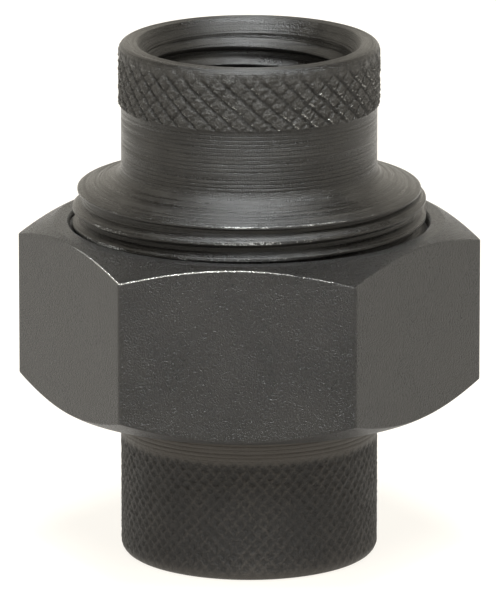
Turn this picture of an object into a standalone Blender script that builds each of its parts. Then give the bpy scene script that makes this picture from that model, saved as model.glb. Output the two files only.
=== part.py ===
"""Half-inch pipe union with an insulating bushing, for two taper-threaded pipes.

The tailpiece stands on its lower end at the origin, +Z up.  A gasket lies on its
flange, the union body stands on the gasket, and the hexagonal nut draws them
together.  A nylon bushing keeps the nut off the tailpiece.  Lengths are in metres.
"""
import math

import bmesh
import bpy

# ---- Driving dimensions ------------------------------------------------------

GAP = 0.0003                    # air kept between pieces that touch or nest
SEGMENTS = 48                   # flats round each turned piece
MERGE = 0.00001                 # merge distance of the turned surfaces

# Female taper pipe thread in both ends, stood for by its crest cone
PIPE_CREST_R = 0.00916          # crest radius at the mouth
PIPE_THREAD_DEPTH = 0.00145
PIPE_THREAD_LENGTH = 0.0136
PIPE_TAPER = 1 / 32             # loss of radius per unit of depth
PORT_CHAMFER_ANGLE = math.radians(33.5)   # from the axis
PORT_STEP = 0.0007              # height and width of the cone from thread to waterway

# Union body
BODY_LENGTH = 0.0250
BODY_MOUTH_WIDENING = 0.00092   # mouth's radius over the root of the pipe thread
NECK_WALL = 0.00251             # outside the root of the pipe thread
RIM_SETBACK = 0.00072           # rounded part of the rim, across and down
KNURL_RISE = 0.00025            # knurl's points above the neck
KNURL_HEIGHT = 0.0056
SHOULDER_SETBACK = 0.00051      # shoulder's edge inside the thread's crest
SHOULDER_DEPTH = 0.01516        # shoulder's edge below the upper end
SHOULDER_SLOPE = math.radians(20)
SHOULDER_LAND = 0.00022
NECK_FILLET_R = 0.0014
FILLET_STEPS = 4

# Union thread, right-handed, on the body
UNION_PITCH = 0.0017
THREAD_FLANK = math.radians(30)
ROOT_FLAT_SHARE = 0.088         # of the pitch, as in a common thread form
DEPTH_SHARE = 0.56
RELIEF_WIDTH = 0.00045          # turned groove where the thread runs out
RELIEF_DEPTH = 0.0001           # how far the groove and end chamfer pass the root
RELIEF_FALL_SHARE = 0.25        # fall of the cut under the shoulder, of the thread's depth
CUTTER_REACH = 0.00015          # how far the thread cutter stands past the crest
CUTTER_START = math.tau / SEGMENTS / 2    # from the front, half a flat round

# Hexagonal union nut
NUT_HEIGHT = 0.01853
NUT_WALL = 0.0022175            # at the middle of a flat
NUT_CORNER_ANGLE = math.radians(-3.36)    # first corner's angle from +X
NUT_FACE_SETBACK = 0.00059      # edge of the flat end faces inside the flats
NUT_TOP_CHAMFER = math.radians(26.2)
NUT_BOTTOM_CHAMFER = math.radians(29.2)
NUT_EDGE_BEVEL = 0.0004
NUT_EDGE_STEPS = 2              # flats across each bevelled edge
ROUND_PROFILE = 0.5             # bevel profile that is an arc
NUT_MOUTH_CHAMFER = 0.00025
LIP_HEIGHT = 0.00408
LIP_CHAMFER = 0.0003

# Tailpiece
TAIL_LENGTH = 0.0260
TAIL_WALL = 0.0026              # outside the root of the pipe thread
TAIL_MOUTH_WIDENING = 0.00039   # mouth's radius over the root of the pipe thread
TAIL_CORNER_R = 0.0012
CORNER_STEPS = 4
FLANGE_OVERLAP = 0.00169        # flange's edge past the hole in the nut's lip
FLANGE_HEIGHT = 0.0034
FLANGE_CHAMFER = 0.0004

# Insulating bushing
SLEEVE_WALL = 0.0012
SLEEVE_RECESS = 0.0002          # sleeve's end inside the nut's lower face
COLLAR_HEIGHT = 0.0015
CUP_WALL = 0.0008
CUP_HEIGHT = 0.0028             # wall round the flange, above the collar
CUP_CLEARANCE = 0.00062         # cup's wall inside the nut's bore

# Gasket
GASKET_HEIGHT = 0.0020
GASKET_INSET = 0.0010           # inner edge outside the waterway
GASKET_SETBACK = 0.0005         # outer edge inside the flange's edge
GASKET_BEVEL = 0.0003

# ---- Radii that follow, from the axis outwards -------------------------------

PIPE_ROOT_R = PIPE_CREST_R + PIPE_THREAD_DEPTH
WATERWAY_R = PIPE_CREST_R - PIPE_THREAD_LENGTH * PIPE_TAPER - PORT_STEP
BODY_MOUTH_R = PIPE_ROOT_R + BODY_MOUTH_WIDENING
NECK_R = PIPE_ROOT_R + NECK_WALL
KNURL_R = NECK_R + KNURL_RISE
BODY_RIM_R = KNURL_R - RIM_SETBACK
TAIL_MOUTH_R = PIPE_ROOT_R + TAIL_MOUTH_WIDENING
TAIL_R = PIPE_ROOT_R + TAIL_WALL
SLEEVE_R = TAIL_R + GAP
SLEEVE_OUTER_R = SLEEVE_R + SLEEVE_WALL
LIP_R = SLEEVE_OUTER_R + GAP
FLANGE_R = LIP_R + FLANGE_OVERLAP
CUP_R = FLANGE_R + GAP
CUP_OUTER_R = CUP_R + CUP_WALL
NUT_BORE_R = CUP_OUTER_R + CUP_CLEARANCE
GASKET_INNER_R = WATERWAY_R + GASKET_INSET
GASKET_OUTER_R = FLANGE_R - GASKET_SETBACK
UNION_THREAD_DEPTH = UNION_PITCH * DEPTH_SHARE
UNION_MAJOR_R = NUT_BORE_R - GAP
UNION_ROOT_R = UNION_MAJOR_R - UNION_THREAD_DEPTH
RELIEF_R = UNION_ROOT_R - RELIEF_DEPTH
SHOULDER_R = UNION_MAJOR_R - SHOULDER_SETBACK
NUT_FLAT_R = NUT_BORE_R + NUT_WALL
NUT_FACE_R = NUT_FLAT_R - NUT_FACE_SETBACK
HEX_CORNER_R = NUT_FLAT_R / math.cos(math.radians(30))

# ---- Heights that follow, from the ground up ---------------------------------

GASKET_Z = TAIL_LENGTH + GAP
BODY_Z = GASKET_Z + GASKET_HEIGHT + GAP
TOP_Z = BODY_Z + BODY_LENGTH
SHOULDER_Z = TOP_Z - SHOULDER_DEPTH
FLANGE_Z = TAIL_LENGTH - FLANGE_HEIGHT
COLLAR_Z = FLANGE_Z - GAP - COLLAR_HEIGHT
LIP_Z = COLLAR_Z - GAP
NUT_Z = LIP_Z - LIP_HEIGHT
NUT_TOP_Z = NUT_Z + NUT_HEIGHT

# ---- Materials: colour, metallic, roughness ----------------------------------

FINISHES = {
    "blackened_body": ((0.055, 0.053, 0.048), 0.6, 0.42),
    "blackened_nut": ((0.060, 0.055, 0.050), 0.5, 0.55),
    "blackened_tail": ((0.045, 0.040, 0.037), 0.5, 0.60),
    "nylon": ((0.62, 0.58, 0.48), 0.0, 0.45),
    "black_rubber": ((0.020, 0.020, 0.021), 0.0, 0.80),
}


def clear_scene():
    """Remove every object that the file starts with."""
    for item in list(bpy.data.objects):
        bpy.data.objects.remove(item, do_unlink=True)


def new_collection(name):
    """Make a collection and link it to the scene."""
    collection = bpy.data.collections.new(name)
    bpy.context.scene.collection.children.link(collection)
    return collection


def finish(name):
    """Make the named Principled BSDF material."""
    colour, metallic, roughness = FINISHES[name]
    material = bpy.data.materials.new(name)
    material.use_nodes = True
    shader = material.node_tree.nodes["Principled BSDF"]
    shader.inputs["Base Color"].default_value = (*colour, 1.0)
    shader.inputs["Metallic"].default_value = metallic
    shader.inputs["Roughness"].default_value = roughness
    return material


def arc(centre, radius, start, end, steps):
    """Points of an arc from the start angle to the end angle, in radians."""
    points = []
    for step in range(steps + 1):
        angle = start + (end - start) * step / steps
        across = centre[0] + radius * math.cos(angle)
        up = centre[1] + radius * math.sin(angle)
        points.append((across, up))
    return points


def turned(name, profile, collection):
    """Turn a closed (radius, height) profile, listed down its outer side first."""
    mesh = bpy.data.meshes.new(name)
    points = [(radius, 0.0, height) for radius, height in profile]
    count = len(points)
    edges = [(index, (index + 1) % count) for index in range(count)]
    mesh.from_pydata(points, edges, [])
    piece = bpy.data.objects.new(name, mesh)
    collection.objects.link(piece)
    screw = piece.modifiers.new("Turning", "SCREW")
    screw.steps = SEGMENTS
    screw.render_steps = SEGMENTS
    screw.use_merge_vertices = True
    screw.merge_threshold = MERGE
    screw.use_smooth_shade = True
    return piece


def port(mouth_z, inward, mouth_r):
    """Profile of a pipe port from its mouth to the waterway; inward is +1 or -1."""
    chamfer_depth = (mouth_r - PIPE_CREST_R) / math.tan(PORT_CHAMFER_ANGLE)
    root = PIPE_CREST_R - PIPE_THREAD_LENGTH * PIPE_TAPER
    return [
        (mouth_r, mouth_z),
        (PIPE_CREST_R, mouth_z + inward * chamfer_depth),
        (root, mouth_z + inward * PIPE_THREAD_LENGTH),
        (WATERWAY_R, mouth_z + inward * (PIPE_THREAD_LENGTH + PORT_STEP)),
    ]


def neck_fillet():
    """Arc that joins the upright neck to the sloping shoulder."""
    rise = (SHOULDER_R - NECK_R) * math.tan(SHOULDER_SLOPE)
    corner_z = SHOULDER_Z + rise
    half_turn = (math.pi / 2 - SHOULDER_SLOPE) / 2
    centre_z = corner_z + NECK_FILLET_R * math.tan(half_turn)
    centre = (NECK_R + NECK_FILLET_R, centre_z)
    end = math.pi + 2 * half_turn
    return arc(centre, NECK_FILLET_R, math.pi, end, FILLET_STEPS)


def body_profile():
    """Outline of the union body before its thread is cut."""
    relief_top = SHOULDER_Z - SHOULDER_LAND
    relief_low = relief_top - UNION_THREAD_DEPTH * RELIEF_FALL_SHARE
    flank_drop = (UNION_MAJOR_R - RELIEF_R) * math.tan(THREAD_FLANK)
    outside = [
        (BODY_RIM_R, TOP_Z),
        (KNURL_R, TOP_Z - RIM_SETBACK),
        (KNURL_R, TOP_Z - RIM_SETBACK - KNURL_HEIGHT),
        (NECK_R, TOP_Z - RIM_SETBACK - KNURL_HEIGHT - KNURL_RISE),
        *neck_fillet(),
        (SHOULDER_R, SHOULDER_Z),
        (SHOULDER_R, relief_top),
        (RELIEF_R, relief_low),
        (RELIEF_R, relief_low - RELIEF_WIDTH),
        (UNION_MAJOR_R, relief_low - RELIEF_WIDTH - flank_drop),
        (UNION_MAJOR_R, BODY_Z + UNION_MAJOR_R - RELIEF_R),
        (RELIEF_R, BODY_Z),
        (WATERWAY_R, BODY_Z),
    ]
    return outside + port(TOP_Z, -1, BODY_MOUTH_R)[::-1]


def thread_cutter(name, collection):
    """Right-handed helical cutter that rises from below the body into its relief."""
    side_r = UNION_MAJOR_R + CUTTER_REACH
    root_half = UNION_PITCH * ROOT_FLAT_SHARE / 2
    side_half = root_half + (side_r - UNION_ROOT_R) * math.tan(THREAD_FLANK)
    last_root_z = SHOULDER_Z - SHOULDER_LAND - RELIEF_WIDTH
    turns = math.ceil((last_root_z - BODY_Z + side_half) / UNION_PITCH)
    start_z = last_root_z - turns * UNION_PITCH
    section = [
        (UNION_ROOT_R, start_z - root_half),
        (side_r, start_z - side_half),
        (side_r, start_z + side_half),
        (UNION_ROOT_R, start_z + root_half),
    ]
    build = bmesh.new()
    across, along = math.sin(CUTTER_START), -math.cos(CUTTER_START)
    points = [(radius * across, radius * along, height) for radius, height in section]
    corners = [build.verts.new(point) for point in points]
    face = build.faces.new(corners)
    bmesh.ops.spin(
        build,
        geom=[face],
        axis=(0.0, 0.0, 1.0),
        cent=(0.0, 0.0, 0.0),
        dvec=(0.0, 0.0, UNION_PITCH / SEGMENTS),
        angle=math.tau * turns,
        steps=SEGMENTS * turns,
    )
    bmesh.ops.recalc_face_normals(build, faces=build.faces[:])
    mesh = bpy.data.meshes.new(name)
    build.to_mesh(mesh)
    build.free()
    cutter = bpy.data.objects.new(name, mesh)
    collection.objects.link(cutter)
    return cutter


def hexagon(name, collection):
    """Upright six-sided bar, twice the nut's height, with its long edges eased."""
    build = bmesh.new()
    bmesh.ops.create_cone(
        build,
        cap_ends=True,
        segments=6,
        radius1=HEX_CORNER_R,
        radius2=HEX_CORNER_R,
        depth=2 * NUT_HEIGHT,
    )
    upright = [edge for edge in build.edges if abs(edge.verts[0].co.z - edge.verts[1].co.z) > NUT_HEIGHT]
    bmesh.ops.bevel(
        build,
        geom=upright,
        offset=NUT_EDGE_BEVEL,
        segments=NUT_EDGE_STEPS,
        profile=ROUND_PROFILE,
        affect="EDGES",
    )
    mesh = bpy.data.meshes.new(name)
    build.to_mesh(mesh)
    build.free()
    bar = bpy.data.objects.new(name, mesh)
    bar.location.z = NUT_Z + NUT_HEIGHT / 2
    bar.rotation_euler.z = NUT_CORNER_ANGLE - math.pi / 2    # its first corner starts at +Y
    collection.objects.link(bar)
    return bar


def hide_as_cutter(item):
    """Show a cutter as wire and keep it out of renders."""
    item.display_type = "WIRE"
    item.hide_render = True


def combine(piece, other, operation):
    """Cut or intersect a piece with another object, by an exact Boolean."""
    change = piece.modifiers.new(other.name, "BOOLEAN")
    change.operation = operation
    change.solver = "EXACT"
    change.object = other


def union_body(parts, cutters):
    """Upper fitting: knurled end, neck, shoulder and the male union thread."""
    piece = turned("union_body", body_profile(), parts)
    piece.data.materials.append(finish("blackened_body"))
    cutter = thread_cutter("union_thread_cutter", cutters)
    hide_as_cutter(cutter)
    combine(piece, cutter, "DIFFERENCE")
    return piece


def union_nut(parts, cutters):
    """Hexagonal nut: turned ring with both ends chamfered, trimmed to six flats."""
    outer_r = HEX_CORNER_R + GAP
    top_drop = (outer_r - NUT_FACE_R) * math.tan(NUT_TOP_CHAMFER)
    bottom_rise = (outer_r - NUT_FACE_R) * math.tan(NUT_BOTTOM_CHAMFER)
    profile = [
        (NUT_FACE_R, NUT_TOP_Z),
        (outer_r, NUT_TOP_Z - top_drop),
        (outer_r, NUT_Z + bottom_rise),
        (NUT_FACE_R, NUT_Z),
        (LIP_R + LIP_CHAMFER, NUT_Z),
        (LIP_R, NUT_Z + LIP_CHAMFER),
        (LIP_R, LIP_Z),
        (NUT_BORE_R, LIP_Z),
        (NUT_BORE_R, NUT_TOP_Z - NUT_MOUTH_CHAMFER),
        (NUT_BORE_R + NUT_MOUTH_CHAMFER, NUT_TOP_Z),
    ]
    piece = turned("union_nut", profile, parts)
    piece.data.materials.append(finish("blackened_nut"))
    bar = hexagon("nut_hexagon", cutters)
    hide_as_cutter(bar)
    combine(piece, bar, "INTERSECT")
    return piece


def tailpiece(parts):
    """Lower fitting: plain shank with a port below and a flange inside the nut."""
    corner_centre = (TAIL_R - TAIL_CORNER_R, TAIL_CORNER_R)
    outside = [
        (FLANGE_R - FLANGE_CHAMFER, TAIL_LENGTH),
        (FLANGE_R, TAIL_LENGTH - FLANGE_CHAMFER),
        (FLANGE_R, FLANGE_Z),
        (TAIL_R, FLANGE_Z),
        *arc(corner_centre, TAIL_CORNER_R, 0.0, -math.pi / 2, CORNER_STEPS),
    ]
    inside = port(0.0, 1, TAIL_MOUTH_R)
    piece = turned("tailpiece", outside + inside + [(WATERWAY_R, TAIL_LENGTH)], parts)
    piece.data.materials.append(finish("blackened_tail"))
    return piece


def insulator_bushing(parts):
    """Nylon sleeve in the nut's lip, with a collar and a cup round the flange."""
    collar_top = COLLAR_Z + COLLAR_HEIGHT
    profile = [
        (CUP_OUTER_R, collar_top + CUP_HEIGHT),
        (CUP_OUTER_R, COLLAR_Z),
        (SLEEVE_OUTER_R, COLLAR_Z),
        (SLEEVE_OUTER_R, NUT_Z + SLEEVE_RECESS),
        (SLEEVE_R, NUT_Z + SLEEVE_RECESS),
        (SLEEVE_R, collar_top),
        (CUP_R, collar_top),
        (CUP_R, collar_top + CUP_HEIGHT),
    ]
    piece = turned("insulator_bushing", profile, parts)
    piece.data.materials.append(finish("nylon"))
    return piece


def sealing_gasket(parts):
    """Flat rubber ring between the tailpiece and the union body."""
    top = GASKET_Z + GASKET_HEIGHT
    profile = [
        (GASKET_OUTER_R - GASKET_BEVEL, top),
        (GASKET_OUTER_R, top - GASKET_BEVEL),
        (GASKET_OUTER_R, GASKET_Z + GASKET_BEVEL),
        (GASKET_OUTER_R - GASKET_BEVEL, GASKET_Z),
        (GASKET_INNER_R, GASKET_Z),
        (GASKET_INNER_R, top),
    ]
    piece = turned("sealing_gasket", profile, parts)
    piece.data.materials.append(finish("black_rubber"))
    return piece


def main():
    """Build the five pieces of the union."""
    clear_scene()
    parts = new_collection("pipe_union")
    cutters = new_collection("cutters")
    tailpiece(parts)
    sealing_gasket(parts)
    insulator_bushing(parts)
    union_nut(parts, cutters)
    union_body(parts, cutters)


main()
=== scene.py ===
import math

import bpy
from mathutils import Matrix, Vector


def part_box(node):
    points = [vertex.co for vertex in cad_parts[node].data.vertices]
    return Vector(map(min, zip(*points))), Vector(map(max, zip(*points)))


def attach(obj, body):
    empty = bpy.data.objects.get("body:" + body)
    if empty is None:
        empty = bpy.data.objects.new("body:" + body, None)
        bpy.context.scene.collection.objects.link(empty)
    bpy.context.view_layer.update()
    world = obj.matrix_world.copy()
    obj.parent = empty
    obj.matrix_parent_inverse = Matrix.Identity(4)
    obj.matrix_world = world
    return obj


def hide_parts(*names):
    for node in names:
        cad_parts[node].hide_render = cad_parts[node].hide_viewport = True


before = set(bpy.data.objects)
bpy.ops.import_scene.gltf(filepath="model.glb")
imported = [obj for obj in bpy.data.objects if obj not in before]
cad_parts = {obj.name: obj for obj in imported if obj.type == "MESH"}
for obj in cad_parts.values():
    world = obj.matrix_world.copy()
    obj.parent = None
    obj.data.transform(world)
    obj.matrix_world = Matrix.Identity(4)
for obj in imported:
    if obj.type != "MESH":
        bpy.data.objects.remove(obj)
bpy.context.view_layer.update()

mm = 0.001
markNames = ("knurl", "wear", "reach", "drop")      # what each row of an outline carries


class Socket:
    # one output socket; the usual operators add Math nodes behind it
    def __init__(self, nodes, socket):
        self.nodes = nodes
        self.socket = socket

    def __add__(self, other):
        return self.nodes.math("ADD", self, other)

    def __radd__(self, other):
        return self.nodes.math("ADD", other, self)

    def __sub__(self, other):
        return self.nodes.math("SUBTRACT", self, other)

    def __rsub__(self, other):
        return self.nodes.math("SUBTRACT", other, self)

    def __mul__(self, other):
        return self.nodes.math("MULTIPLY", self, other)

    def __rmul__(self, other):
        return self.nodes.math("MULTIPLY", other, self)

    def __truediv__(self, other):
        return self.nodes.math("DIVIDE", self, other)

    def __pow__(self, other):
        return self.nodes.math("POWER", self, other)

    def __abs__(self):
        return self.nodes.math("ABSOLUTE", self)

    def __lt__(self, other):
        return self.nodes.math("LESS_THAN", self, other)

    def __gt__(self, other):
        return self.nodes.math("GREATER_THAN", self, other)


class Nodes:
    # writes nodes into one tree: the type, its settings, then its sockets' values or links
    def __init__(self, tree):
        self.tree = tree

    def node(self, kind, settings=None, links=None, out=0):
        made = self.tree.nodes.new(kind)
        for name, value in (settings or {}).items():
            setattr(made, name, value)
        for key, value in (links or {}).items():
            if isinstance(value, Socket):
                self.tree.links.new(value.socket, made.inputs[key])
            else:
                made.inputs[key].default_value = value
        if out is None:
            return [Socket(self, socket) for socket in made.outputs]
        return Socket(self, made.outputs[out])

    def math(self, operation, *values):
        return self.node("ShaderNodeMath", {"operation": operation}, dict(enumerate(values)))

    def clamp(self, value):
        return self.node("ShaderNodeClamp", {}, {0: value})

    def least(self, one, other):
        return self.math("MINIMUM", one, other)

    def most(self, one, other):
        return self.math("MAXIMUM", one, other)

    def mixColour(self, share, one, other):
        # inputs 6 and 7 are a Mix node's colours
        return self.node("ShaderNodeMix", {"data_type": "RGBA"}, {0: share, 6: one, 7: other}, out=2)

    def vector(self, x, y, z):
        return self.node("ShaderNodeCombineXYZ", {}, {0: x, 1: y, 2: z})

    def split(self, vector):
        return self.node("ShaderNodeSeparateXYZ", {}, {0: vector}, out=None)


def bendCorner(before, corner, after, radius):
    # points of the arc that rounds a corner of an outline
    steps = 2 + int(radius / (0.25 * mm))
    smallest = 0.002 * mm
    toward = before - corner
    away = after - corner
    room = 0.45 * min(toward.length, away.length)
    half = toward.angle(away) / 2
    radius = min(radius, room * math.tan(half))
    if radius < smallest:
        return [corner]
    toward.normalize()
    away.normalize()
    setback = radius / math.tan(half)
    centre = corner + (toward + away).normalized() * (radius / math.sin(half))
    first = corner + toward * setback - centre
    last = corner + away * setback - centre
    start = math.atan2(first.y, first.x)
    sweep = math.atan2(last.y, last.x) - start
    sweep = (sweep + math.pi) % math.tau - math.pi
    angles = [start + sweep * step / steps for step in range(steps + 1)]
    return [centre + radius * Vector((math.cos(angle), math.sin(angle))) for angle in angles]


def outline(corners, wearReach=0.3 * mm):
    # closed list of rows from corners (radius, height, rounding, rows up to it, marks)
    count = len(corners)
    places = [Vector(corner[:2]) for corner in corners]
    arcs = []
    for index, corner in enumerate(corners):
        after = places[(index + 1) % count]
        arcs.append(bendCorner(places[index - 1], places[index], after, corner[2]))
    rows = []
    for index, corner in enumerate(corners):
        marks = {key: corner[4].get(key, 0.0) for key in markNames}
        past = {key: corners[index - 1][4].get(key, 0.0) for key in markNames}
        begin = arcs[index - 1][-1]
        end = arcs[index][0]
        length = (end - begin).length
        for step in range(1, corner[3]):
            share = step / corner[3]
            row = {key: past[key] + (marks[key] - past[key]) * share for key in marks}
            row["place"] = begin.lerp(end, share)
            fromPast = past["wear"] * (1 - share * length / wearReach)
            fromNext = marks["wear"] * (1 - (1 - share) * length / wearReach)
            row["wear"] = max(fromPast, fromNext, 0.0)
            rows.append(row)
        for place in arcs[index]:
            rows.append(dict(marks, place=place))
    return rows + [rows[0]]


def arcCorners(radius, height, bend, start, end, firstKnurl, lastKnurl):
    # corners along an arc between two angles, where the knurl fades in or out
    steps = 7
    corners = []
    for step in range(steps + 1):
        share = step / steps
        angle = math.radians(start + (end - start) * share)
        knurl = firstKnurl * (1 - share) + lastKnurl * share
        place = (radius + bend * math.cos(angle), height + bend * math.sin(angle))
        corners.append((*place, 0.0, 1, {"knurl": max(knurl, 0.0)}))
    return corners


def outlineObject(name, rows):
    # the outline as a line of points, with its marks as attributes
    mesh = bpy.data.meshes.new(name)
    mesh.from_pydata([(row["place"].x, 0.0, row["place"].y) for row in rows], [], [])
    for key in markNames:
        layer = mesh.attributes.new(key, "FLOAT", "POINT")
        layer.data.foreach_set("value", [row[key] for row in rows])
    piece = bpy.data.objects.new(name, mesh)
    bpy.context.scene.collection.objects.link(piece)
    return piece


def newTree(name, inputs):
    # a tree with its geometry in and out, and named inputs for its sizes
    tree = bpy.data.node_groups.new(name, "GeometryNodeTree")
    tree.interface.new_socket("Geometry", in_out="INPUT", socket_type="NodeSocketGeometry")
    for label, kind, value in inputs:
        socket = tree.interface.new_socket(label, in_out="INPUT", socket_type=kind)
        if value is not None:
            socket.default_value = value
    tree.interface.new_socket("Geometry", in_out="OUTPUT", socket_type="NodeSocketGeometry")
    nodes = Nodes(tree)
    entry = tree.nodes.new("NodeGroupInput")
    given = {socket.name: Socket(nodes, socket) for socket in entry.outputs if socket.name}
    return nodes, given


def endTree(nodes, geometry, material):
    real = nodes.node("GeometryNodeRealizeInstances", {}, {0: geometry})
    painted = nodes.node("GeometryNodeSetMaterial", {}, {"Geometry": real, "Material": material})
    nodes.node("NodeGroupOutput", {}, {0: painted}, out=None)
    return nodes.tree


def applyTree(piece, tree, sizes, material):
    # run a tree on an object with the given sizes and keep the result as a plain mesh
    modifier = piece.modifiers.new(tree.name, "NODES")
    modifier.node_group = tree
    keys = {item.name: item.identifier for item in tree.interface.items_tree if item.in_out == "INPUT"}
    for label, value in {**sizes, "Material": material}.items():
        modifier[keys[label]] = value
    bpy.context.view_layer.update()
    evaluated = piece.evaluated_get(bpy.context.evaluated_depsgraph_get())
    mesh = bpy.data.meshes.new_from_object(evaluated)
    piece.modifiers.clear()
    piece.data = mesh
    mesh.name = piece.name
    mesh.materials.clear()
    mesh.materials.append(material)
    return piece


def attribute(nodes, name):
    return nodes.node("GeometryNodeInputNamedAttribute", {"data_type": "FLOAT"}, {"Name": name})


def outlineGrid(nodes, given):
    # a grid of columns round the axis and one row for each point of the outline
    size = nodes.node("GeometryNodeAttributeDomainSize", {"component": "MESH"}, {0: given["Geometry"]})
    columns = given["Columns"]
    sides = {"Size X": 1.0, "Size Y": 1.0, "Vertices X": columns + 1, "Vertices Y": size}
    grid = nodes.node("GeometryNodeMeshGrid", {}, sides)
    position = nodes.node("GeometryNodeInputPosition")
    across, along, _ = nodes.split(position)
    turn = nodes.math("ROUND", (across + 0.5) * columns) / columns
    row = nodes.math("ROUND", (along + 0.5) * (size - 1))

    def sample(value, kind="FLOAT"):
        links = {"Geometry": given["Geometry"], "Value": value, "Index": row}
        return nodes.node("GeometryNodeSampleIndex", {"data_type": kind, "domain": "POINT"}, links)

    radius, _, height = nodes.split(sample(position, "FLOAT_VECTOR"))
    marks = {key: sample(attribute(nodes, key)) for key in markNames}
    return grid, turn, radius, height, marks


def shapeGrid(nodes, grid, angle, radius, height, kept, material):
    # bend the grid into the piece, keep what the finish reads, close the seams
    around = nodes.vector(radius * nodes.math("COSINE", angle), radius * nodes.math("SINE", angle), height)
    for name, value in kept.items():
        grid = nodes.node("GeometryNodeStoreNamedAttribute", {"data_type": "FLOAT", "domain": "POINT"},
                          {"Geometry": grid, "Name": name, "Value": value})
    bent = nodes.node("GeometryNodeSetPosition", {}, {"Geometry": grid, "Position": around})
    closed = nodes.node("GeometryNodeMergeByDistance", {}, {"Geometry": bent, "Distance": 0.001 * mm})
    smooth = nodes.node("GeometryNodeSetShadeSmooth", {}, {"Geometry": closed, "Shade Smooth": True})
    return endTree(nodes, smooth, material)


# how the knurling wheel bites: its slow wander, the hammered grain it leaves and the height of the ridge
# edges that carry wear and a painted highlight
knurlWheel = {"wanderScale": 5.0, "grainScale": 52.0, "grainHeight": 1.9, "edgeHeight": 0.78}


def turnedTree():
    # a turned piece whose marked rows carry a diamond knurl
    nodes, given = newTree("turnedPiece", [
        ("Columns", "NodeSocketInt", 360),
        ("Knurl Count", "NodeSocketFloat", 40.0),
        ("Knurl Pitch", "NodeSocketFloat", 1.75 * mm),
        ("Knurl Depth", "NodeSocketFloat", 0.3 * mm),
        ("Knurl Flat", "NodeSocketFloat", 1.4),
        ("Second Cut", "NodeSocketFloat", 1.0),
        ("Second Flat", "NodeSocketFloat", 1.4),
        ("Knurl Wander", "NodeSocketFloat", 0.1),
        ("Raised Mesh", "NodeSocketFloat", 0.0),
        ("Material", "NodeSocketMaterial", None),
    ])
    grid, turn, radius, height, marks = outlineGrid(nodes, given)
    # the knurling wheel's marks wander a little and bite unevenly
    place = nodes.vector(nodes.math("COSINE", turn * math.tau), nodes.math("SINE", turn * math.tau),
                         height / (12 * mm))

    def noise(scale):
        return nodes.node("ShaderNodeTexNoise", {}, {"Vector": place, "Scale": scale, "Detail": 3.0}) - 0.5

    uneven = noise(knurlWheel["wanderScale"])
    around = turn * given["Knurl Count"] + uneven * given["Knurl Wander"] * 4
    upward = height / given["Knurl Pitch"]

    def wave(value):
        # 0 in the middle of a cut, 1 half way between cuts
        return abs(nodes.math("FRACT", value + 100.0) * 2.0 - 1.0)

    first = wave(around + upward)
    second = wave(around - upward)
    firstRise = nodes.least(first * given["Knurl Flat"], 1.0)
    secondGap = 1 - nodes.least(second * given["Second Flat"], 1.0)
    points = nodes.least(firstRise, 1 - secondGap * given["Second Cut"])
    mesh = nodes.clamp(1 - nodes.least(first, second) * given["Knurl Flat"])
    rise = points + (mesh - points) * given["Raised Mesh"]
    depth = given["Knurl Depth"] * marks["knurl"] * (1 + uneven * given["Knurl Wander"] * 10)
    cut = radius - depth * (1 - rise)
    # the edge on the side of each ridge that faces up wears; the finish also paints it lighter there as a
    # painted highlight
    upperSide = nodes.math("FRACT", around + upward + 100.0) > 0.5
    onEdge = nodes.clamp(1.3 - abs(firstRise - knurlWheel["edgeHeight"]) * 5.5)
    edges = onEdge * nodes.clamp(points * 2 - 0.7) * upperSide
    # tips marks ridge edges for wear and a painted highlight; hollow marks the knurl's grooves for painted
    # shade
    kept = {"wear": marks["wear"], "knurl": marks["knurl"], "tips": marks["knurl"] * edges,
            "paintedHollowShade": marks["knurl"] * (1 - rise)}
    bumps = noise(knurlWheel["grainScale"]) * knurlWheel["grainHeight"]
    hammered = cut + bumps * given["Knurl Depth"] * marks["knurl"]
    return shapeGrid(nodes, grid, turn * math.tau, hammered, height, kept, given["Material"])


def hexTree():
    # a ring whose marked rows follow the flats and rounded corners of a hexagon
    nodes, given = newTree("hexagonRing", [
        ("Columns", "NodeSocketInt", 432),
        ("Flat Radius", "NodeSocketFloat", 20.64 * mm),
        ("Corner Rounding", "NodeSocketFloat", 0.5 * mm),
        ("Outline Radius", "NodeSocketFloat", 21.0 * mm),
        ("Corner Angle", "NodeSocketFloat", 0.0),
        ("Corner Wear", "NodeSocketFloat", 0.35),
        ("Material", "NodeSocketMaterial", None),
    ])
    grid, turn, radius, height, marks = outlineGrid(nodes, given)
    sixth = math.tau / 6
    crowding = 2.2                                          # draws the columns towards the corners
    cornerWidth = 0.5 * mm
    side = nodes.math("FLOOR", turn * 5.99999)              # just under 6 keeps the last column on side 5
    swing = (turn * 6 - side) * 2 - 1                       # -1 to 1 across one corner
    off = nodes.math("SIGN", swing) * abs(swing) ** crowding * (sixth / 2)
    flat = given["Flat Radius"]
    rounding = given["Corner Rounding"]
    centre = (flat - rounding) / math.cos(sixth / 2)
    acrossOff = centre * nodes.math("SINE", off)
    inner = nodes.most(rounding * rounding - acrossOff * acrossOff, 0.0)
    curved = centre * nodes.math("COSINE", off) + nodes.math("SQRT", inner)
    straight = flat / nodes.math("COSINE", sixth / 2 - abs(off))
    tangent = nodes.math("ARCTAN2", rounding * 0.5, centre + rounding * math.cos(sixth / 2))
    isRound = abs(off) < tangent
    edge = straight + (curved - straight) * isRound
    extra = edge - given["Outline Radius"]
    reached = radius + marks["reach"] * extra
    dropped = height - marks["drop"] * extra
    angle = side * sixth + off + given["Corner Angle"]
    atCorner = nodes.clamp(1 - abs(acrossOff) / cornerWidth)
    wear = nodes.most(marks["wear"], atCorner * marks["reach"] * given["Corner Wear"])
    kept = {"wear": wear, "knurl": marks["knurl"]}
    return shapeGrid(nodes, grid, angle, reached, dropped, kept, given["Material"])


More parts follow.
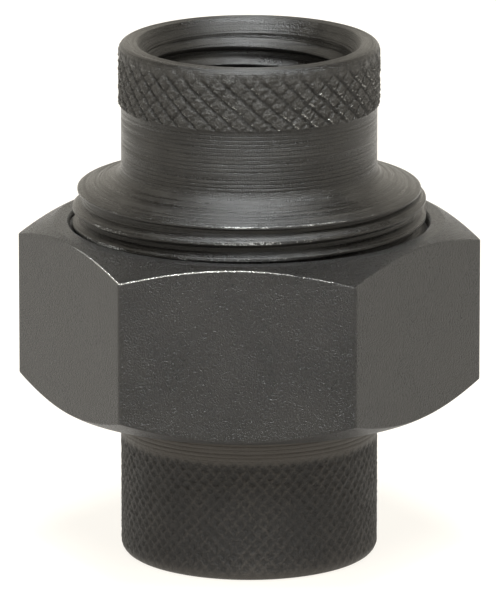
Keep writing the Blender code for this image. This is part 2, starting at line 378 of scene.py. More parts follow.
def threadTree():
    # a thread's ridge: a rounded trapezoid swept along a helix, tapering off at both ends
    nodes, given = newTree("threadRidge", [
        ("Pitch", "NodeSocketFloat", 1.7 * mm),
        ("Turns", "NodeSocketFloat", 5.0),
        ("Start Radius", "NodeSocketFloat", 17.0 * mm),
        ("End Radius", "NodeSocketFloat", 17.0 * mm),
        ("Start Height", "NodeSocketFloat", 0.0),
        ("Start Angle", "NodeSocketFloat", 0.0),
        ("Base Width", "NodeSocketFloat", 1.3 * mm),
        ("Crest Width", "NodeSocketFloat", 0.2 * mm),
        ("Ridge Height", "NodeSocketFloat", 0.95 * mm),
        ("Crest Rounding", "NodeSocketFloat", 0.08 * mm),
        ("Sunk", "NodeSocketFloat", 0.1 * mm),
        ("Inward", "NodeSocketFloat", 0.0),
        ("Crest Radius", "NodeSocketFloat", 18.0 * mm),
        ("Run In", "NodeSocketFloat", 0.2),
        ("Run Out", "NodeSocketFloat", 0.2),
        ("Trim Radius", "NodeSocketFloat", 1.0),
        ("Trim Height", "NodeSocketFloat", 0.0),
        ("Trim Slope", "NodeSocketFloat", 0.0),
        ("Steps", "NodeSocketInt", 180),
        ("Material", "NodeSocketMaterial", None),
    ])
    turns = given["Turns"]
    endShare = 0.04                                         # what is left of the ridge at its very ends
    wornWidth = 0.12 * mm
    crestWear = 0.6
    spiral = nodes.node("GeometryNodeCurveSpiral", {}, {
        "Resolution": given["Steps"], "Rotations": turns, "Start Radius": given["Start Radius"],
        "End Radius": given["End Radius"], "Height": given["Pitch"] * turns, "Reverse": True})
    moved = nodes.node("GeometryNodeTransform", {}, {
        "Geometry": spiral, "Translation": nodes.vector(0.0, 0.0, given["Start Height"]),
        "Rotation": nodes.vector(0.0, 0.0, given["Start Angle"])})
    upright = nodes.node("GeometryNodeSetCurveNormal", {"mode": "Z_UP"}, {"Curve": moved})
    along = nodes.node("GeometryNodeSplineParameter")
    gone = along * turns
    left = turns - gone
    grown = nodes.clamp(gone / given["Run In"]) * nodes.clamp(left / given["Run Out"])
    section = nodes.node("GeometryNodeCurvePrimitiveQuadrilateral", {"mode": "TRAPEZOID"}, {
        "Height": given["Ridge Height"] + given["Sunk"], "Bottom Width": given["Base Width"],
        "Top Width": given["Crest Width"], "Offset": 0.0})
    eased = nodes.node("GeometryNodeFilletCurve", {"mode": "POLY"}, {
        "Curve": section, "Radius": given["Crest Rounding"], "Limit Radius": True, "Count": 3})
    lifted = nodes.node("GeometryNodeTransform", {}, {
        "Geometry": eased,
        "Translation": nodes.vector(0.0, (given["Ridge Height"] - given["Sunk"]) / 2, 0.0)})
    outward = nodes.node("GeometryNodeTransform", {}, {
        "Geometry": lifted,
        "Rotation": nodes.vector(0.0, 0.0, given["Inward"] * math.pi - math.pi / 2)})
    swelling = grown * (1 - endShare) + endShare
    ridge = nodes.node("GeometryNodeCurveToMesh", {}, {
        "Curve": upright, "Profile Curve": outward, "Scale": swelling, "Fill Caps": True})
    # the end chamfer of the piece trims the ridge
    x, y, z = nodes.split(nodes.node("GeometryNodeInputPosition"))
    radius = nodes.math("SQRT", x * x + y * y)
    limit = given["Trim Radius"] + (z - given["Trim Height"]) * given["Trim Slope"]
    outside = nodes.least(radius, limit)
    inside = nodes.most(radius, limit)
    share = (outside + (inside - outside) * given["Inward"]) / radius
    trimmed = nodes.node("GeometryNodeSetPosition", {}, {
        "Geometry": ridge, "Position": nodes.vector(x * share, y * share, z)})
    fromCrest = abs(radius - given["Crest Radius"])
    wear = nodes.clamp(1 - fromCrest / wornWidth) * crestWear
    stored = nodes.node("GeometryNodeStoreNamedAttribute", {"data_type": "FLOAT", "domain": "POINT"},
                        {"Geometry": trimmed, "Name": "wear", "Value": wear})
    smooth = nodes.node("GeometryNodeSetShadeSmooth", {}, {"Geometry": stored, "Shade Smooth": True})
    return endTree(nodes, smooth, given["Material"])


turned = turnedTree()
hexagonRing = hexTree()
threadRidge = threadTree()
print("geometry trees made")


def turnedPiece(name, corners, sizes, material):
    return applyTree(outlineObject(name, outline(corners)), turned, sizes, material)


def threadPiece(name, sizes, material):
    piece = bpy.data.objects.new(name, bpy.data.meshes.new(name))
    bpy.context.scene.collection.objects.link(piece)
    return applyTree(piece, threadRidge, sizes, material)


def newMaterial(name):
    material = bpy.data.materials.new(name)
    material.use_nodes = True
    material.node_tree.nodes.clear()
    return material, Nodes(material.node_tree)


def endMaterial(nodes, sockets):
    shader = nodes.node("ShaderNodeBsdfPrincipled", {}, sockets)
    nodes.node("ShaderNodeOutputMaterial", {}, {"Surface": shader}, out=None)


# shared by the three steels: how the turning rings lean, where and how far the oxide has rubbed off, and how
# much likelier the lighter bare metal is painted on the front and left as a painted highlight
oxideWearAndGlint = {
    "ringLean": 0.45, "patchSize": 9 * mm, "frontGlintShare": 0.35, "leftGlintShare": 0.05, "patchLow": 0.25,
    "edgeFrom": 1.35, "speckFrom": 1.32, "bareSmooth": 0.12, "bareMetal": 0.85, "smoothest": 0.08,
}


def blackenedSteel(name, look):
    # black oxide on steel: lighter and more metallic where an edge has rubbed, with painted shade in the
    # knurl's hollows and the lathe's feed lines, and painted highlight as bare-metal specks on ridge edges
    # and on the front and left
    material, nodes = newMaterial(name)
    place = nodes.node("ShaderNodeTexCoord", {}, {}, out="Object")
    x, y, z = nodes.split(place)
    across = nodes.math("SQRT", x * x + y * y)

    def mark(label):
        return nodes.node("ShaderNodeAttribute", {"attribute_name": label}, {}, out="Fac")

    def noise(vector, size, detail=2.0):
        links = {"Vector": vector, "Scale": 1 / size, "Detail": detail, "Roughness": 0.6}
        return nodes.node("ShaderNodeTexNoise", {}, links, out=0)

    grain = noise(place, look["grainSize"], 3.0)
    blotch = noise(place, look["blotchSize"])
    ringPlace = z - across * oxideWearAndGlint["ringLean"]
    streaked = nodes.vector(x * 0.02, y * 0.02, ringPlace)
    rings = noise(streaked, look["ringSize"], 4.0)
    fineRings = noise(nodes.vector(x * 0.05, y * 0.05, ringPlace), look["ringSize"] / 5, 2.0)
    # marks left by each turn of the lathe, clearer in some places than others; the colour darkens them as
    # painted shade in their grooves
    feed = nodes.math("FRACT", ringPlace / look["feedSize"] + rings * 0.5 + 500.0)
    feedLine = nodes.clamp(1 - abs(feed * 2 - 1) * 2.5) * nodes.clamp(noise(streaked, 3 * mm) * 2.5 - 0.7)
    plain = 1 - mark("knurl")
    # painted highlight: the lighter bare metal is made likelier on the front and a little likelier on the
    # left, on top of the random rubbed patches
    side = (y * oxideWearAndGlint["frontGlintShare"] + x * oxideWearAndGlint["leftGlintShare"]) / across
    wearAndGlintPatch = noise(place, oxideWearAndGlint["patchSize"], 0.0) - side - oxideWearAndGlint["patchLow"]
    chance = nodes.clamp(0.5 + (grain - 0.5) * 2.2 + (blotch - 0.5) + (wearAndGlintPatch - 0.5) * 1.6)
    worn = nodes.clamp((mark("wear") * look["edgeWear"] + chance - oxideWearAndGlint["edgeFrom"]) * 3)
    # partly wear, partly painted highlight: specks of light bare metal on the upper ridge edges
    speck = nodes.clamp((mark("tips") * look["tipWearAndGlint"] + chance - oxideWearAndGlint["speckFrom"]) * 5)
    bareAndGlint = nodes.most(worn, speck)
    # painted shade: the feed lines darken the colour as if their grooves were unlit
    ringTone = ((rings - 0.5) * look["ringTone"] + look["plainTone"] - feedLine * look["feedGrooveShade"]) * plain
    knurlTone = mark("knurl") * look["knurlTone"]
    grainTone = (grain - 0.5) * look["grainTone"] * (2 - plain)
    tone = nodes.clamp(0.5 + (blotch - 0.5) * 1.5 + grainTone + ringTone + knurlTone)
    oxide = nodes.mixColour(tone, look["dark"], look["light"])
    # painted shade: the knurl's hollows are darkened towards a near-black colour
    paintedHollowShade = nodes.clamp(mark("paintedHollowShade") * look["hollowShadeAmount"])
    shaded = nodes.mixColour(paintedHollowShade, oxide, look["hollowShadeColour"])
    colour = nodes.mixColour(bareAndGlint, shaded, look["bareAndGlint"])
    ringRough = (rings - 0.5) * plain * look["ringRough"]
    uneven = (grain - 0.5) * look["roughChange"] + (blotch - 0.5) * 0.12 + ringRough
    # grains and rubbed ridges that have stayed smooth glint
    brightGrain = nodes.clamp((grain - 0.57) * 10) * (1 + mark("knurl") * 2)
    glint = brightGrain * look["grainGlint"] + mark("tips") * look["tipGlint"]
    rubbed = bareAndGlint * oxideWearAndGlint["bareSmooth"]
    roughness = nodes.most(look["roughness"] + uneven - rubbed - glint, oxideWearAndGlint["smoothest"])
    turning = (rings + fineRings * 0.3 - feedLine * 0.35) * look["ringDepth"] * plain
    height = grain * look["grainDepth"] * (1 + mark("knurl") * 1.5) + turning
    normal = nodes.node("ShaderNodeBump", {}, {"Strength": 1.0, "Distance": mm, "Height": height})
    endMaterial(nodes, {
        "Base Color": colour, "Metallic": bareAndGlint * oxideWearAndGlint["bareMetal"], "Roughness": roughness,
        "Normal": normal, "IOR": look["ior"], "Anisotropic": look["brushed"], "Anisotropic Rotation": 0.25})
    return material


# colours of dark and light oxide, of the painted shade in a knurl's hollows and of bare metal, which also
# paints glints; then sizes and strengths
bodyLook = {
    "dark": (0.0055, 0.0048, 0.0040, 1), "light": (0.022, 0.020, 0.017, 1),
    "hollowShadeColour": (0.001, 0.001, 0.001, 1), "bareAndGlint": (0.55, 0.55, 0.53, 1),
    "grainSize": 0.17 * mm, "blotchSize": 2.5 * mm, "ringSize": 0.30 * mm, "feedSize": 0.42 * mm,
    "feedGrooveShade": 0.8, "plainTone": -0.25, "knurlTone": 0.8, "hollowShadeAmount": 0.65, "grainTone": 2.6,
    "ringTone": 2.8, "edgeWear": 0.9, "tipWearAndGlint": 1.15,
    "roughness": 0.38, "roughChange": 0.5, "ringRough": 0.9,
    "grainGlint": 0.09, "tipGlint": 0.15, "grainDepth": 0.08, "ringDepth": 0.12, "ior": 1.48, "brushed": 0.92,
}
nutLook = {
    "dark": (0.001, 0.0009, 0.0008, 1), "light": (0.012, 0.0105, 0.009, 1),
    "hollowShadeColour": (0.012, 0.012, 0.011, 1), "bareAndGlint": (0.45, 0.45, 0.43, 1),
    "grainSize": 0.18 * mm, "blotchSize": 6.0 * mm, "ringSize": 0.6 * mm, "feedSize": 1.0 * mm,
    "feedGrooveShade": 0.0, "plainTone": 0.0, "knurlTone": 0.0, "hollowShadeAmount": 0.0, "grainTone": 4.5,
    "ringTone": 0.0, "edgeWear": 0.85, "tipWearAndGlint": 0.0,
    "roughness": 0.32, "roughChange": 0.3, "ringRough": 0.0,
    "grainGlint": 0.10, "tipGlint": 0.0, "grainDepth": 0.20, "ringDepth": 0.0, "ior": 1.46, "brushed": 0.0,
}
tailLook = {
    "dark": (0.005, 0.004, 0.0035, 1), "light": (0.038, 0.033, 0.028, 1),
    "hollowShadeColour": (0.002, 0.0015, 0.0015, 1), "bareAndGlint": (0.25, 0.25, 0.24, 1),
    "grainSize": 0.25 * mm, "blotchSize": 4.0 * mm, "ringSize": 0.35 * mm, "feedSize": 0.42 * mm,
    "feedGrooveShade": 0.2, "plainTone": 1.0, "knurlTone": -0.25, "hollowShadeAmount": 0.8, "grainTone": 1.6,
    "ringTone": 2.0, "edgeWear": 0.5, "tipWearAndGlint": 0.0,
    "roughness": 0.55, "roughChange": 0.3, "ringRough": 0.5,
    "grainGlint": 0.0, "tipGlint": 0.0, "grainDepth": 0.07, "ringDepth": 0.06, "ior": 1.45, "brushed": 0.4,
}
nylonLook = {
    "dark": (0.55, 0.50, 0.39, 1), "light": (0.68, 0.64, 0.53, 1), "cloudSize": 4 * mm, "fineSize": 0.15 * mm,
    "fineDepth": 0.006, "cloudDepth": 0.01, "roughness": 0.34, "roughChange": 0.2,
}
rubberLook = {
    "dark": (0.012, 0.012, 0.013, 1), "light": (0.034, 0.034, 0.034, 1), "bloomSize": 2.5 * mm,
    "fineSize": 0.12 * mm, "fineDepth": 0.02, "roughness": 0.62, "roughChange": 0.25,
}


def softNoise(nodes, place, size, detail):
    return nodes.node("ShaderNodeTexNoise", {}, {"Vector": place, "Scale": 1 / size, "Detail": detail}, out=0)


def mouldedNylon(name, look):
    # natural nylon: creamy, slightly glossy, with soft mould texture
    material, nodes = newMaterial(name)
    place = nodes.node("ShaderNodeTexCoord", {}, {}, out="Object")
    cloud = softNoise(nodes, place, look["cloudSize"], 3.0)
    fine = softNoise(nodes, place, look["fineSize"], 2.0)
    colour = nodes.mixColour(cloud, look["dark"], look["light"])
    height = fine * look["fineDepth"] + cloud * look["cloudDepth"]
    normal = nodes.node("ShaderNodeBump", {}, {"Strength": 1.0, "Distance": mm, "Height": height})
    roughness = look["roughness"] + cloud * look["roughChange"]
    endMaterial(nodes, {"Base Color": colour, "Roughness": roughness, "Normal": normal,
                        "Subsurface Weight": 0.2, "Subsurface Scale": 1 * mm})
    return material


def mouldedRubber(name, look):
    # matt black rubber with a bloom of grey dust
    material, nodes = newMaterial(name)
    place = nodes.node("ShaderNodeTexCoord", {}, {}, out="Object")
    bloom = softNoise(nodes, place, look["bloomSize"], 4.0)
    fine = softNoise(nodes, place, look["fineSize"], 2.0)
    colour = nodes.mixColour(nodes.clamp(bloom * 1.6 - 0.5), look["dark"], look["light"])
    height = fine * look["fineDepth"]
    normal = nodes.node("ShaderNodeBump", {}, {"Strength": 1.0, "Distance": mm, "Height": height})
    roughness = look["roughness"] + bloom * look["roughChange"]
    endMaterial(nodes, {"Base Color": colour, "Roughness": roughness, "Normal": normal})
    return material


bodySteel = blackenedSteel("blackenedBody", bodyLook)
nutSteel = blackenedSteel("blackenedNut", nutLook)
tailSteel = blackenedSteel("blackenedTail", tailLook)
nylon = mouldedNylon("mouldedNylon", nylonLook)
rubber = mouldedRubber("mouldedRubber", rubberLook)
print("materials made")


def reachOf(node):
    # lowest and highest point of a node, and how far it reaches from the axis
    low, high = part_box(node)
    return low.z, high.z, high.x


bodyFoot, bodyTop, unionCrest = reachOf("union_body")
nutFoot, nutTop, _ = reachOf("union_nut")
_, tailTop, flangeRadius = reachOf("tailpiece")
gasketFoot, gasketTop, gasketRadius = reachOf("sealing_gasket")
sleeveFoot, cupTop, cupRadius = reachOf("insulator_bushing")

# taper pipe thread cut in both ends; clear is the plain length at the mouth and at the deep end
pipeThread = {
    "pitch": 1.8143 * mm, "crest": 9.16 * mm, "depth": 1.45 * mm, "length": 13.6 * mm, "taper": 1 / 32,
    "chamferAngle": 33.5, "waterway": 8.035 * mm, "clearMouth": 1.1 * mm, "clearDeep": 0.1 * mm,
    "baseWidth": 1.42 * mm, "crestWidth": 0.14 * mm, "rounding": 0.1 * mm, "sunk": 0.12 * mm,
    "runIn": 0.12, "runOut": 0.05, "steps": 96,
}
trimGap = 0.03 * mm         # a female ridge may stand this far into its chamfer
# straight thread between the body and the nut; frontCrest is the height where the ridge passes the front
unionThread = {
    "pitch": 1.7 * mm, "depth": 0.95 * mm, "frontCrest": 36.84 * mm, "sunk": 0.12 * mm,
    "endChamfer": 0.4 * mm, "baseWidth": 1.42 * mm, "crestWidth": 0.28 * mm, "rounding": 0.07 * mm,
    "runIn": 0.1, "runOut": 0.27, "turnsBelow": 4.4, "turnsAbove": 0.55, "steps": 120,
}
nutThreadSizes = {
    "turns": 4.7, "turnsBelow": 5.8, "baseWidth": 1.45 * mm, "crestWidth": 0.33 * mm, "rounding": 0.06 * mm,
    "runIn": 0.2, "runOut": 0.1, "steps": 96,
}


def ridgeSizes(thread):
    # the inputs that every thread takes straight from its dictionary
    return {"Base Width": thread["baseWidth"], "Crest Width": thread["crestWidth"],
            "Crest Rounding": thread["rounding"], "Run In": thread["runIn"], "Run Out": thread["runOut"],
            "Steps": thread["steps"]}


def portCorners(mouthHeight, inward, mouth):
    # inner wall of a port, from the waterway out to the mouth's edge
    slope = math.tan(math.radians(pipeThread["chamferAngle"]))
    taper = pipeThread["taper"]
    root = pipeThread["crest"] + pipeThread["depth"]
    depth = (mouth - root) / slope
    end = pipeThread["length"]
    return [
        (pipeThread["waterway"], mouthHeight + inward * (end + 0.9 * mm), 0.1 * mm, 2, {}),
        (root - end * taper, mouthHeight + inward * end, 0.1 * mm, 2, {}),
        (root - depth * taper, mouthHeight + inward * depth, 0.05 * mm, 4, {}),
        (mouth, mouthHeight, 0.14 * mm, 5, {"wear": 0.75}),
    ]


def portThread(name, mouthHeight, inward, mouth, startAngle, material):
    # the ridge of the port's thread, trimmed by the mouth's chamfer
    thread = pipeThread
    rise = thread["length"] - thread["clearMouth"] - thread["clearDeep"]
    narrow = thread["crest"] + thread["depth"] - (thread["length"] - thread["clearDeep"]) * thread["taper"]
    wide = narrow + rise * thread["taper"]
    slope = math.tan(math.radians(thread["chamferAngle"]))
    if inward < 0:
        low = mouthHeight - thread["length"] + thread["clearDeep"]
        first, last = narrow, wide
    else:
        low = mouthHeight + thread["clearMouth"]
        first, last = wide, narrow
    return threadPiece(name, {
        **ridgeSizes(thread), "Pitch": thread["pitch"], "Turns": rise / thread["pitch"],
        "Start Height": low, "Start Angle": startAngle, "Start Radius": first, "End Radius": last,
        "Ridge Height": thread["depth"], "Sunk": thread["sunk"], "Inward": 1.0,
        "Crest Radius": thread["crest"], "Trim Radius": mouth + trimGap, "Trim Height": mouthHeight,
        "Trim Slope": -inward * slope,
    }, material)


bodySizes = {
    "mouth": 11.53 * mm, "rimRound": 0.72 * mm, "knurlRadius": 13.37 * mm, "knurlLow": 47.42 * mm,
    "knurlHigh": 52.85 * mm, "neck": 13.12 * mm, "neckFillet": 1.4 * mm, "shoulder": 17.61 * mm,
    "shoulderFoot": 38.20 * mm, "shoulderHeight": 38.44 * mm, "shoulderSlope": 20.0,
    "threadTop": 37.40 * mm, "relief": 17.07 * mm, "reliefFoot": 37.52 * mm, "reliefTop": 37.96 * mm,
    "portStart": 1.5,
}
bodyKnurl = {
    "Columns": 560, "Knurl Count": 40.0, "Knurl Pitch": 1.88 * mm, "Knurl Depth": 0.30 * mm,
    "Knurl Flat": 2.4, "Second Cut": 0.55, "Second Flat": 2.6, "Raised Mesh": 0.0, "Knurl Wander": 0.09,
}


def buildBody():
    size = bodySizes
    thread = unionThread
    root = unionCrest - thread["depth"]
    chamfer = thread["endChamfer"]
    fall = math.tan(math.radians(size["shoulderSlope"]))
    coneTop = size["shoulderHeight"] + (size["shoulder"] - size["neck"]) * fall
    bend = size["rimRound"]
    corners = [
        (pipeThread["waterway"], bodyFoot, 0.15 * mm, 6, {}),
        (root - chamfer, bodyFoot, 0.1 * mm, 4, {}),
        (root, bodyFoot + chamfer, 0.1 * mm, 2, {}),
        (root, size["threadTop"], 0.02 * mm, 5, {}),
        (size["relief"], size["reliefFoot"], 0.05 * mm, 1, {}),
        (size["relief"], size["reliefTop"], 0.10 * mm, 1, {}),
        (size["shoulder"], size["shoulderFoot"], 0.05 * mm, 2, {"wear": 0.3}),
        (size["shoulder"], size["shoulderHeight"], 0.07 * mm, 1, {"wear": 0.65}),
        (size["neck"], coneTop, size["neckFillet"], 12, {}),
        (size["neck"], size["knurlLow"] - 0.42 * mm, 0.1 * mm, 8, {}),
        (size["neck"] + 0.1 * mm, size["knurlLow"] - 0.2 * mm, 0.0, 2, {"knurl": 0.1}),
        (size["knurlRadius"], size["knurlLow"], 0.0, 2, {"knurl": 1.0}),
        (size["knurlRadius"], size["knurlHigh"] - 1.0 * mm, 0.0, 40, {"knurl": 1.0}),
        (size["knurlRadius"], size["knurlHigh"] - 0.35 * mm, 0.0, 5, {"knurl": 0.6, "wear": 0.55}),
        *arcCorners(size["knurlRadius"] - bend, bodyTop - bend, bend, 8, 90, 0.45, -0.6),
        (size["mouth"], bodyTop, 0.10 * mm, 4, {"wear": 0.45}),
        *portCorners(bodyTop, -1, size["mouth"])[:-1][::-1],
    ]
    core = turnedPiece("unionBody", corners, bodyKnurl, bodySteel)
    # the ridge starts just above the foot and tapers off under the shoulder
    below = thread["turnsBelow"]
    male = threadPiece("unionThread", {
        **ridgeSizes(thread), "Pitch": thread["pitch"], "Turns": below + thread["turnsAbove"],
        "Start Height": thread["frontCrest"] - below * thread["pitch"],
        "Start Angle": -math.pi / 2 - below * math.tau, "Start Radius": root, "End Radius": root,
        "Ridge Height": thread["depth"], "Sunk": thread["sunk"], "Inward": 0.0, "Crest Radius": unionCrest,
        "Trim Radius": root - chamfer, "Trim Height": bodyFoot, "Trim Slope": 1.0,
    }, bodySteel)
    female = portThread("bodyPipeThread", bodyTop, -1, size["mouth"], size["portStart"], bodySteel)
    return [core, male, female]


nutSizes = {
    "flat": 20.6375 * mm, "face": 20.05 * mm, "topChamfer": 26.2, "bottomChamfer": 29.2, "cornerAngle": -3.36,
    "lip": 15.01 * mm, "lipTop": 20.5 * mm, "lipChamfer": 0.3 * mm, "bore": 18.42 * mm,
    "boreChamfer": 0.25 * mm, "cornerRound": 0.7 * mm, "wornWidth": 0.14 * mm, "columns": 432,
}


def buildNut():
    # the mark that stands for a knurl gives the top and its chamfer their coarser grain
    size = nutSizes
    flat, face, lip, bore, worn = (size[key] for key in ("flat", "face", "lip", "bore", "wornWidth"))
    top = math.tan(math.radians(size["topChamfer"]))
    bottom = math.tan(math.radians(size["bottomChamfer"]))
    lowEdge = nutFoot + (flat - face) * bottom
    highEdge = nutTop - (flat - face) * top
    lowHex = {"reach": 1.0, "drop": -bottom}
    highHex = {"reach": 1.0, "drop": top}
    corners = [
        (lip + size["lipChamfer"], nutFoot, 0.1 * mm, 1, {}),
        (face, nutFoot, 0.2 * mm, 8, {}),
        (flat, lowEdge, 0.16 * mm, 8, {**lowHex, "wear": 0.3}),
        (flat, lowEdge + 0.25 * mm, 0.0, 1, lowHex),
        (flat, highEdge - worn, 0.0, 24, highHex),
        (flat, highEdge, 0.10 * mm, 1, {**highHex, "wear": 0.9}),
        (flat - worn, highEdge + worn * top, 0.0, 1, {**highHex, "knurl": 1.0}),
        (face, nutTop, 0.15 * mm, 8, {"knurl": 1.0}),
        (bore + size["boreChamfer"], nutTop, 0.05 * mm, 3, {"knurl": 1.0}),
        (bore, nutTop - size["boreChamfer"], 0.03 * mm, 1, {}),
        (bore, size["lipTop"], 0.2 * mm, 8, {}),
        (lip, size["lipTop"], 0.2 * mm, 3, {}),
        (lip, nutFoot + size["lipChamfer"], 0.1 * mm, 3, {}),
    ]
    core = applyTree(outlineObject("unionNut", outline(corners, worn)), hexagonRing, {
        "Columns": size["columns"], "Flat Radius": flat, "Corner Rounding": size["cornerRound"],
        "Outline Radius": flat, "Corner Angle": math.radians(size["cornerAngle"]),
    }, nutSteel)
    # half a pitch from the body's ridge, so the two run in each other's grooves
    thread = nutThreadSizes
    pitch = unionThread["pitch"]
    below = thread["turnsBelow"]
    female = threadPiece("nutThread", {
        **ridgeSizes(thread), "Pitch": pitch, "Turns": thread["turns"],
        "Start Height": unionThread["frontCrest"] - (below + 0.5) * pitch,
        "Start Angle": -math.pi / 2 - below * math.tau, "Start Radius": bore, "End Radius": bore,
        "Ridge Height": unionThread["depth"], "Sunk": unionThread["sunk"], "Inward": 1.0,
        "Crest Radius": bore - unionThread["depth"], "Trim Radius": bore + size["boreChamfer"] + trimGap,
        "Trim Height": nutTop, "Trim Slope": 1.0,
    }, nutSteel)
    return [core, female]


tailSizes = {
    "mouth": 11.0 * mm, "shank": 13.21 * mm, "cornerRound": 1.2 * mm, "knurlHigh": 12.7 * mm,
    "flangeFoot": 22.6 * mm, "flangeChamfer": 0.4 * mm, "portStart": 1.0,
}
tailKnurl = {
    "Columns": 536, "Knurl Count": 67.0, "Knurl Pitch": 1.39 * mm, "Knurl Depth": 0.14 * mm,
    "Knurl Flat": 1.6, "Second Cut": 1.0, "Raised Mesh": 1.0, "Knurl Wander": 0.08,
}
# rings turned above the tail's knurl: every second one is deeper
tailGrooves = {"count": 6, "first": 0.3 * mm, "spacing": 0.42 * mm, "half": 0.12 * mm, "depths": (0.03, 0.05)}


def grooveCorners(shank, foot):
    corners = []
    half = tailGrooves["half"]
    for step in range(tailGrooves["count"]):
        low = foot + tailGrooves["first"] + tailGrooves["spacing"] * step
        depth = tailGrooves["depths"][step % 2] * mm
        corners += [
            (shank, low, 0.04 * mm, 1, {}),
            (shank - depth, low + half, 0.03 * mm, 1, {}),
            (shank, low + 2 * half, 0.04 * mm, 1, {}),
        ]
    return corners


def buildTail():
    size = tailSizes
    shank = size["shank"]
    bend = size["cornerRound"]
    flangeEdge = size["flangeChamfer"]
    corners = [
        (size["mouth"], 0.0, 0.12 * mm, 3, {"wear": 0.3}),
        *arcCorners(shank - bend, bend, bend, -90, 0, -0.6, 0.8),
        (shank, 2.5 * mm, 0.0, 8, {"knurl": 1.0}),
        (shank, size["knurlHigh"] - 0.6 * mm, 0.0, 62, {"knurl": 1.0}),
        (shank, size["knurlHigh"] + 0.1 * mm, 0.0, 4, {}),
        *grooveCorners(shank, size["knurlHigh"]),
        (shank, size["flangeFoot"], 0.3 * mm, 6, {}),
        (flangeRadius, size["flangeFoot"], 0.15 * mm, 3, {}),
        (flangeRadius, tailTop - flangeEdge, 0.05 * mm, 3, {}),
        (flangeRadius - flangeEdge, tailTop, 0.05 * mm, 1, {}),
        (pipeThread["waterway"], tailTop, 0.2 * mm, 6, {}),
        *portCorners(0.0, 1, size["mouth"])[:-1],
    ]
    core = turnedPiece("tailPiece", corners, tailKnurl, tailSteel)
    female = portThread("tailPipeThread", 0.0, 1, size["mouth"], size["portStart"], tailSteel)
    return [core, female]


smoothRing = {"Columns": 240, "Knurl Depth": 0.0}       # the bushing and the gasket carry no knurl
bushingSizes = {
    "sleeveInner": 13.51 * mm, "sleeveOuter": 14.71 * mm, "collarFoot": 20.8 * mm, "collarTop": 22.3 * mm,
    "cupInner": 17.0 * mm,
}


def buildBushing():
    size = bushingSizes
    corners = [
        (size["sleeveInner"], sleeveFoot, 0.15 * mm, 1, {}),
        (size["sleeveOuter"], sleeveFoot, 0.3 * mm, 2, {}),
        (size["sleeveOuter"], size["collarFoot"], 0.2 * mm, 6, {}),
        (cupRadius, size["collarFoot"], 0.25 * mm, 4, {}),
        (cupRadius, cupTop, 0.2 * mm, 6, {}),
        (size["cupInner"], cupTop, 0.2 * mm, 1, {}),
        (size["cupInner"], size["collarTop"], 0.2 * mm, 4, {}),
        (size["sleeveInner"], size["collarTop"], 0.2 * mm, 4, {}),
    ]
    return [turnedPiece("insulatorBushing", corners, smoothRing, nylon)]


gasketSizes = {"inner": 9.035 * mm, "rim": 0.9 * mm, "ribHalf": 0.27 * mm, "ribDepth": 0.14 * mm, "ribs": 6}


def buildGasket():
    # shallow grooves on both faces leave ribs that seal
    size = gasketSizes
    ribs = size["ribs"]
    half = size["ribHalf"]
    first = size["inner"] + size["rim"]
    spacing = (gasketRadius - size["rim"] - first) / (ribs - 1)
    low = []
    for rib in range(ribs):
        middle = first + rib * spacing
        low += [
            (middle - half, gasketFoot, 0.08 * mm, 2, {}),
            (middle, gasketFoot + size["ribDepth"], 0.08 * mm, 1, {}),
            (middle + half, gasketFoot, 0.08 * mm, 1, {}),
        ]
    high = [(radius, gasketFoot + gasketTop - height, *rest) for radius, height, *rest in low[::-1]]
    corners = [
        (size["inner"], gasketFoot, 0.25 * mm, 3, {}),
        *low,
        (gasketRadius, gasketFoot, 0.4 * mm, 2, {}),
        (gasketRadius, gasketTop, 0.4 * mm, 3, {}),
        *high,
        (size["inner"], gasketTop, 0.25 * mm, 2, {}),
    ]
    return [turnedPiece("sealingGasket", corners, smoothRing, rubber)]


# each body's pieces, the node they stand for and the finish they take
assembly = {
    "tailpiece": (buildTail, "tailpiece", "blackened_tail"),
    "gasket": (buildGasket, "sealing_gasket", "black_rubber"),
    "bushing": (buildBushing, "insulator_bushing", "nylon"),
    "nut": (buildNut, "union_nut", "blackened_nut"),
    "body": (buildBody, "union_body", "blackened_body"),
}
for part, (build, node, finish) in assembly.items():
    made = build()
    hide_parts(node)
    for piece in made:
        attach(piece, part)
    print(part, "made:", sum(len(piece.data.polygons) for piece in made), "faces")


studio = {
    "elevation": 14.303, "distance": 992.3 * mm, "aimAcross": -0.12 * mm, "aimHeight": 26.435 * mm,
    "lens": 579.4, "sideLight": 1.05, "topLight": 0.25, "skyColour": (1, 0.945, 0.83, 1),
    "floorSize": 6.0, "floorDrop": 0.03 * mm, "floorColour": (0.12, 0.11, 0.095, 1),
    "floorGlow": (1, 0.97, 0.91, 1), "stripColour": (0.94, 0.98, 1.0), "stripDistance": 1.1,
}
# strip lights in the plane of the camera and the axis; a negative lean is towards the camera
strips = {
    "overheadStrip": {"lean": -12.0, "width": 0.14, "length": 0.46, "power": 26.0},
    "frontStrip": {"lean": -38.0, "width": 0.20, "length": 0.45, "power": 12.5},
}


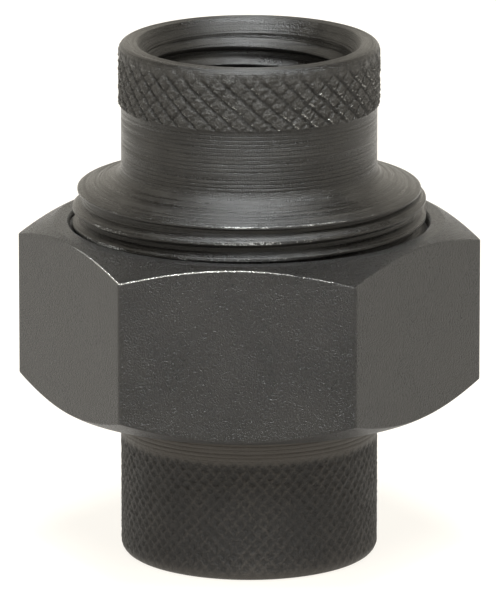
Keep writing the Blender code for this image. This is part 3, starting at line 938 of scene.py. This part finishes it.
def buildCamera():
    camera = bpy.data.objects.new("camera", bpy.data.cameras.new("camera"))
    bpy.context.scene.collection.objects.link(camera)
    tilt = math.radians(studio["elevation"])
    camera.location = (studio["aimAcross"], -studio["distance"] * math.cos(tilt),
                       studio["aimHeight"] + studio["distance"] * math.sin(tilt))
    camera.rotation_euler = (math.pi / 2 - tilt, 0, 0)
    camera.data.lens = studio["lens"]
    camera.data.sensor_width = 36
    camera.data.clip_start = 0.05
    camera.data.clip_end = 50
    bpy.context.scene.camera = camera


def buildFloor():
    mesh = bpy.data.meshes.new("floor")
    half = studio["floorSize"] / 2
    low = -studio["floorDrop"]      # clear of the end face that stands on it
    corners = [(-half, -half, low), (half, -half, low), (half, half, low), (-half, half, low)]
    mesh.from_pydata(corners, [], [(0, 1, 2, 3)])
    floor = bpy.data.objects.new("floor", mesh)
    bpy.context.scene.collection.objects.link(floor)
    material, nodes = newMaterial("paleFloor")
    endMaterial(nodes, {"Base Color": studio["floorColour"], "Roughness": 0.9,
                        "Emission Color": studio["floorGlow"], "Emission Strength": 0.92})
    mesh.materials.append(material)


def buildSky():
    # pale all round and dimmer overhead
    world = bpy.data.worlds.new("studio")
    bpy.context.scene.world = world
    world.use_nodes = True
    world.node_tree.nodes.clear()
    nodes = Nodes(world.node_tree)
    up = nodes.split(nodes.node("ShaderNodeTexCoord", {}, {}, out="Generated"))[2]
    high = nodes.clamp((up - 0.25) / 0.3)
    strength = studio["sideLight"] + high * (studio["topLight"] - studio["sideLight"])
    background = nodes.node("ShaderNodeBackground", {}, {"Color": studio["skyColour"], "Strength": strength})
    nodes.node("ShaderNodeOutputWorld", {}, {"Surface": background}, out=None)


def buildStrips():
    for name, strip in strips.items():
        light = bpy.data.lights.new(name, "AREA")
        light.shape = "RECTANGLE"
        light.size = strip["width"]
        light.size_y = strip["length"]
        light.energy = strip["power"]
        light.color = studio["stripColour"]
        lamp = bpy.data.objects.new(name, light)
        bpy.context.scene.collection.objects.link(lamp)
        lean = math.radians(strip["lean"])
        away = Vector((0, math.sin(lean), math.cos(lean)))
        lamp.location = away * studio["stripDistance"]
        lamp.rotation_euler = away.to_track_quat("Z", "Y").to_euler()


buildCamera()
buildFloor()
buildSky()
buildStrips()
bpy.context.scene.view_settings.view_transform = "Standard"
print("studio made")
